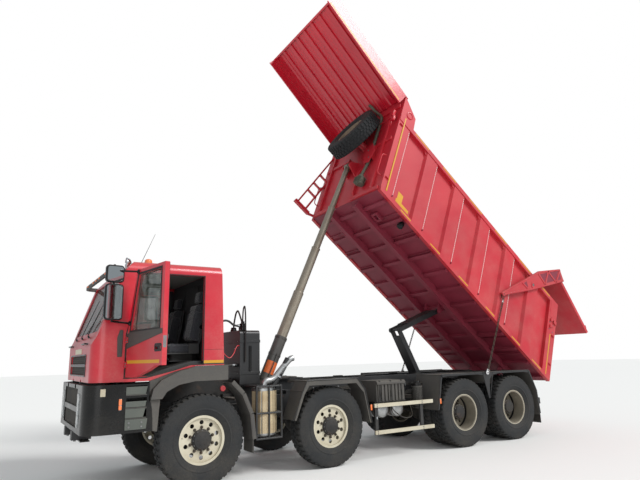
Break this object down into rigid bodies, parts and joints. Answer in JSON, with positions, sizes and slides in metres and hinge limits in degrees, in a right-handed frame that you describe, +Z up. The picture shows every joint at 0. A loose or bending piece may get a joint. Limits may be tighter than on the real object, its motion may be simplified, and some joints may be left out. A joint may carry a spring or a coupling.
{
  "type": "mining dump truck",
  "caption": "Eight-wheel rigid mining tipper with a telescopic hoist, a tailgate that lifts as the bed rises, hinged cab doors and steered front axles.",
  "frame": {"origin": "on the ground under the middle of the overall box in the pictured pose", "axes": "+X towards the cab, +Y to the truck's left, +Z up"},
  "size_m": [10.9086, 3.7261, 8.5481],
  "materials": {
    "body_red": "gloss red paint, dusty",
    "chassis_black": "satin black chassis paint",
    "axle_cast": "black painted castings",
    "bumper_plastic": "black moulded plastic with grey-green steps",
    "trim_plastic": "grained dark grey-brown plastic",
    "guard_cream": "cream paint",
    "rim_cream": "cream wheel paint",
    "tyre_rubber": "block tread on-off road tyre",
    "hose_rubber": "hydraulic hose",
    "lamp_lens": "clear and amber lenses",
    "window_glass": "slightly green tint",
    "seat_fabric": "dark woven cloth",
    "cab_lining": "dark floor and underside",
    "silencer_steel": "aluminised steel",
    "tank_aluminium": "brushed tank sheet",
    "chain_steel": "zinc plated chain",
    "hoist_dark": "dark cylinder paint",
    "hoist_steel": "ground and oiled steel"
  },
  "bodies": {
    "chassis": {"frame": "chassis_black", "bumper": "bumper_plastic", "lamps": "lamp_lens", "axles": "axle_cast", "engine": "axle_cast", "exhaust": "silencer_steel", "battery_box": "trim_plastic", "fuel_tank": "tank_aluminium", "side_guards": "guard_cream", "mudguards": "trim_plastic", "oil_tank": "chassis_black", "hose_a": "hose_rubber"},
    "knuckle_l1": {"knuckle_l1": "axle_cast"},
    "knuckle_r1": {"knuckle_r1": "axle_cast"},
    "knuckle_l2": {"knuckle_l2": "axle_cast"},
    "knuckle_r2": {"knuckle_r2": "axle_cast"},
    "wheel_l1": {"tyre_l1": "tyre_rubber", "rim_l1": "rim_cream"},
    "wheel_r1": {"tyre_r1": "tyre_rubber", "rim_r1": "rim_cream"},
    "wheel_l2": {"tyre_l2": "tyre_rubber", "rim_l2": "rim_cream"},
    "wheel_r2": {"tyre_r2": "tyre_rubber", "rim_r2": "rim_cream"},
    "wheel_l3": {"tyre_l3": "tyre_rubber", "rim_l3": "rim_cream"},
    "wheel_r3": {"tyre_r3": "tyre_rubber", "rim_r3": "rim_cream"},
    "wheel_l4": {"tyre_l4": "tyre_rubber", "rim_l4": "rim_cream"},
    "wheel_r4": {"tyre_r4": "tyre_rubber", "rim_r4": "rim_cream"},
    "cab": {"cab_floor": "cab_lining", "cab_shell": "body_red", "cab_roof": "body_red", "cab_front": "body_red", "windscreen": "window_glass", "cab_trim": "trim_plastic", "seats": "seat_fabric", "dashboard": "trim_plastic"},
    "door_left": {"door_l": "body_red", "door_glass_l": "window_glass", "mirrors_l": "trim_plastic"},
    "door_right": {"door_r": "body_red", "door_glass_r": "window_glass", "mirrors_r": "trim_plastic"},
    "bed": {"bed_floor": "body_red", "bed_sides": "body_red", "bed_front": "body_red", "canopy": "body_red", "spare_wheel": "tyre_rubber"},
    "tailgate": {"tailgate": "body_red"},
    "chains": {"chains": "chain_steel"},
    "hoist_barrel": {"hoist_barrel": "hoist_dark"},
    "hoist_stage_1": {"hoist_stage_1": "hoist_steel"},
    "hoist_stage_2": {"hoist_stage_2": "hoist_steel"},
    "hoist_stage_3": {"hoist_stage_3": "hoist_steel"},
    "hoist_stage_4": {"hoist_stage_4": "hoist_steel"},
    "stabilizer_lower": {"stabilizer_lower": "chassis_black"},
    "stabilizer_upper": {"stabilizer_upper": "chassis_black"}
  },
  "joints": [
    {"name": "steer_front_left", "type": "hinge", "parent": "chassis", "child": "knuckle_l1", "pos_m": [3.88522, 0.55695, 0.613], "axis": [0, 0, 1], "range_deg": [-30, 30]},
    {"name": "steer_front_right", "type": "hinge", "parent": "chassis", "child": "knuckle_r1", "pos_m": [3.88522, -1.24305, 0.613], "axis": [0, 0, 1], "range_deg": [-30, 30]},
    {"name": "steer_second_left", "type": "hinge", "parent": "chassis", "child": "knuckle_l2", "pos_m": [1.75522, 0.55695, 0.613], "axis": [0, 0, 1], "range_deg": [-18, 18]},
    {"name": "steer_second_right", "type": "hinge", "parent": "chassis", "child": "knuckle_r2", "pos_m": [1.75522, -1.24305, 0.613], "axis": [0, 0, 1], "range_deg": [-18, 18]},
    {"name": "roll_l1", "type": "hinge", "parent": "knuckle_l1", "child": "wheel_l1", "pos_m": [3.88522, 0.67695, 0.613], "axis": [0, 1, 0], "continuous": true},
    {"name": "roll_r1", "type": "hinge", "parent": "knuckle_r1", "child": "wheel_r1", "pos_m": [3.88522, -1.36305, 0.613], "axis": [0, 1, 0], "continuous": true},
    {"name": "roll_l2", "type": "hinge", "parent": "knuckle_l2", "child": "wheel_l2", "pos_m": [1.75522, 0.67695, 0.613], "axis": [0, 1, 0], "continuous": true},
    {"name": "roll_r2", "type": "hinge", "parent": "knuckle_r2", "child": "wheel_r2", "pos_m": [1.75522, -1.36305, 0.613], "axis": [0, 1, 0], "continuous": true},
    {"name": "roll_l3", "type": "hinge", "parent": "chassis", "child": "wheel_l3", "pos_m": [-1.19478, 0.56995, 0.613], "axis": [0, 1, 0], "continuous": true},
    {"name": "roll_r3", "type": "hinge", "parent": "chassis", "child": "wheel_r3", "pos_m": [-1.19478, -1.25605, 0.613], "axis": [0, 1, 0], "continuous": true},
    {"name": "roll_l4", "type": "hinge", "parent": "chassis", "child": "wheel_l4", "pos_m": [-2.60478, 0.56995, 0.613], "axis": [0, 1, 0], "continuous": true},
    {"name": "roll_r4", "type": "hinge", "parent": "chassis", "child": "wheel_r4", "pos_m": [-2.60478, -1.25605, 0.613], "axis": [0, 1, 0], "continuous": true},
    {"name": "cab_tilt", "type": "hinge", "parent": "chassis", "child": "cab", "pos_m": [5.37022, -0.34305, 1.425], "axis": [0, 1, 0], "range_deg": [0, 55]},
    {"name": "door_left", "type": "hinge", "parent": "cab", "child": "door_left", "pos_m": [4.97522, 0.81695, 1.9], "axis": [0, 0, 1], "range_deg": [-5, 80]},
    {"name": "door_right", "type": "hinge", "parent": "cab", "child": "door_right", "pos_m": [4.97522, -1.50305, 1.9], "axis": [0, 0, 1], "range_deg": [0, 85]},
    {"name": "bed_tilt", "type": "hinge", "parent": "chassis", "child": "bed", "pos_m": [-3.21478, -0.34305, 1.2], "axis": [0, -1, 0], "range_deg": [-40, 5]},
    {"name": "tailgate_open", "type": "hinge", "parent": "bed", "child": "tailgate", "pos_m": [-3.53934, -0.34305, 3.12074], "axis": [0, -1, 0], "range_deg": [-6.82, 54.42]},
    {"name": "chain_swing", "type": "hinge", "parent": "chassis", "child": "chains", "pos_m": [-1.83478, -0.34305, 1.31], "axis": [0, -1, 0], "range_deg": [-49.92, 6.26]},
    {"name": "hoist_swing", "type": "hinge", "parent": "chassis", "child": "hoist_barrel", "pos_m": [2.50522, -0.34305, 1.05], "axis": [0, -1, 0], "range_deg": [-19.67, 2.48]},
    {"name": "hoist_slide_1", "type": "slide", "parent": "hoist_barrel", "child": "hoist_stage_1", "axis": [-0.417, 0, 0.9089], "range_m": [-0.9543, 0.1195]},
    {"name": "hoist_slide_2", "type": "slide", "parent": "hoist_stage_1", "child": "hoist_stage_2", "axis": [-0.417, 0, 0.9089], "range_m": [-0.9543, 0.1195]},
    {"name": "hoist_slide_3", "type": "slide", "parent": "hoist_stage_2", "child": "hoist_stage_3", "axis": [-0.417, 0, 0.9089], "range_m": [-0.9543, 0.1195]},
    {"name": "hoist_slide_4", "type": "slide", "parent": "hoist_stage_3", "child": "hoist_stage_4", "axis": [-0.417, 0, 0.9089], "range_m": [-0.9543, 0.1195]},
    {"name": "stabilizer_base", "type": "hinge", "parent": "chassis", "child": "stabilizer_lower", "pos_m": [-1.16478, -0.34305, 1.18], "axis": [0, -1, 0], "range_deg": [-59.46, 7.45]},
    {"name": "stabilizer_elbow", "type": "hinge", "parent": "stabilizer_lower", "child": "stabilizer_upper", "pos_m": [-0.63699, -0.34305, 2.20174], "axis": [0, -1, 0], "range_deg": [-9.59, 76.59]}
  ],
  "couplings": [
    {"joint": "steer_front_right", "follows": "steer_front_left", "ratio": 1},
    {"joint": "steer_second_left", "follows": "steer_front_left", "ratio": 0.6},
    {"joint": "steer_second_right", "follows": "steer_front_left", "ratio": 0.6},
    {"joint": "tailgate_open", "follows": "bed_tilt", "ratio": -1.36},
    {"joint": "chain_swing", "follows": "bed_tilt", "ratio": 1.2475},
    {"joint": "hoist_swing", "follows": "bed_tilt", "ratio": 0.4912},
    {"joint": "hoist_slide_1", "follows": "bed_tilt", "m_per_rad": 1.3666},
    {"joint": "hoist_slide_2", "follows": "bed_tilt", "m_per_rad": 1.3666},
    {"joint": "hoist_slide_3", "follows": "bed_tilt", "m_per_rad": 1.3666},
    {"joint": "hoist_slide_4", "follows": "bed_tilt", "m_per_rad": 1.3666},
    {"joint": "stabilizer_base", "follows": "bed_tilt", "ratio": 1.486},
    {"joint": "stabilizer_elbow", "follows": "bed_tilt", "ratio": -1.9142}
  ]
}
